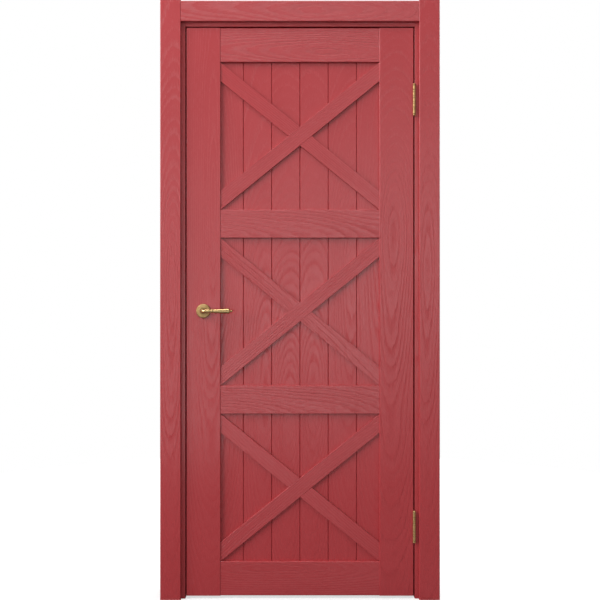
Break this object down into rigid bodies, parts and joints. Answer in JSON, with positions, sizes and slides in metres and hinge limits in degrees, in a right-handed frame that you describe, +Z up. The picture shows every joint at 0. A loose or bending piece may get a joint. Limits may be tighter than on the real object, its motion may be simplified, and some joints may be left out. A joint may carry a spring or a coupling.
{
  "type": "interior door",
  "caption": "Red enamelled interior door: boarded leaf with ledges and cross braces, hung in a rebated frame with casings, butt hinges and sprung lever handles.",
  "frame": {"origin": "middle of the doorway at floor level, on the front face of the jambs, which is the wall's front", "axes": "+Z up, +X towards the hinges, +Y through the wall away from the side the leaf opens to"},
  "size_m": [0.9806, 0.1754, 2.105],
  "materials": {
    "red_enamel": "satin red enamel on open-pored ash",
    "aged_brass": "satin aged brass",
    "steel": "zinc-plated",
    "rubber": "matt"
  },
  "bodies": {
    "frame": {"strike_jamb": "red_enamel", "hinge_jamb": "red_enamel", "head_jamb": "red_enamel", "front_casing_left": "red_enamel", "front_casing_right": "red_enamel", "front_casing_head": "red_enamel", "rear_casing_left": "red_enamel", "rear_casing_right": "red_enamel", "rear_casing_head": "red_enamel", "strike_plate": "aged_brass", "frame_wood_screws": "aged_brass", "upper_hinge_jamb_plate": "aged_brass", "lower_hinge_jamb_plate": "aged_brass", "upper_hinge_pin": "aged_brass", "lower_hinge_pin": "aged_brass", "hinge_bearings": "aged_brass", "strike_magnet": "steel", "frame_corner_screws": "steel", "door_seal": "rubber"},
    "leaf": {"lock_stile": "red_enamel", "hinge_stile": "red_enamel", "top_rail": "red_enamel", "bottom_rail": "red_enamel", "plank_1": "red_enamel", "plank_2": "red_enamel", "plank_3": "red_enamel", "plank_4": "red_enamel", "plank_5": "red_enamel", "plank_6": "red_enamel", "front_upper_ledge": "red_enamel", "front_lower_ledge": "red_enamel", "rear_upper_ledge": "red_enamel", "rear_lower_ledge": "red_enamel", "front_lower_rising_brace": "red_enamel", "front_lower_falling_brace": "red_enamel", "front_middle_rising_brace": "red_enamel", "front_middle_falling_brace": "red_enamel", "front_upper_rising_brace": "red_enamel", "front_upper_falling_brace": "red_enamel", "rear_lower_rising_brace": "red_enamel", "rear_lower_falling_brace": "red_enamel", "rear_middle_rising_brace": "red_enamel", "rear_middle_falling_brace": "red_enamel", "rear_upper_rising_brace": "red_enamel", "rear_upper_falling_brace": "red_enamel", "upper_hinge_door_plate": "aged_brass", "lower_hinge_door_plate": "aged_brass", "leaf_wood_screws": "aged_brass", "lock_forend": "aged_brass", "front_rose": "aged_brass", "rear_rose": "aged_brass", "lock_case": "steel", "lever_spring": "steel", "latch_spring": "steel", "rose_bolts": "steel"},
    "lever_set": {"front_lever": "aged_brass", "rear_lever": "aged_brass", "spindle": "steel", "lock_follower": "steel"},
    "latch": {"latch_bolt": "steel"}
  },
  "joints": [
    {"name": "door_swing", "type": "hinge", "parent": "frame", "child": "leaf", "pos_m": [0.4019, -0.006, 0], "axis": [0, 0, 1], "range_deg": [0, 160]},
    {"name": "lever_turn", "type": "hinge", "parent": "leaf", "child": "lever_set", "pos_m": [-0.34, 0.02, 1.013], "axis": [0, 1, 0], "range_deg": [0, 45], "stiffness_Nm_per_rad": 1.2, "springref_deg": -34.38, "deforming": ["lever_spring"]},
    {"name": "latch_slide", "type": "slide", "parent": "leaf", "child": "latch", "axis": [-1, 0, 0], "range_m": [0, 0.012], "stiffness_N_per_m": 40, "springref_m": -0.01, "deforming": ["latch_spring"]}
  ]
}
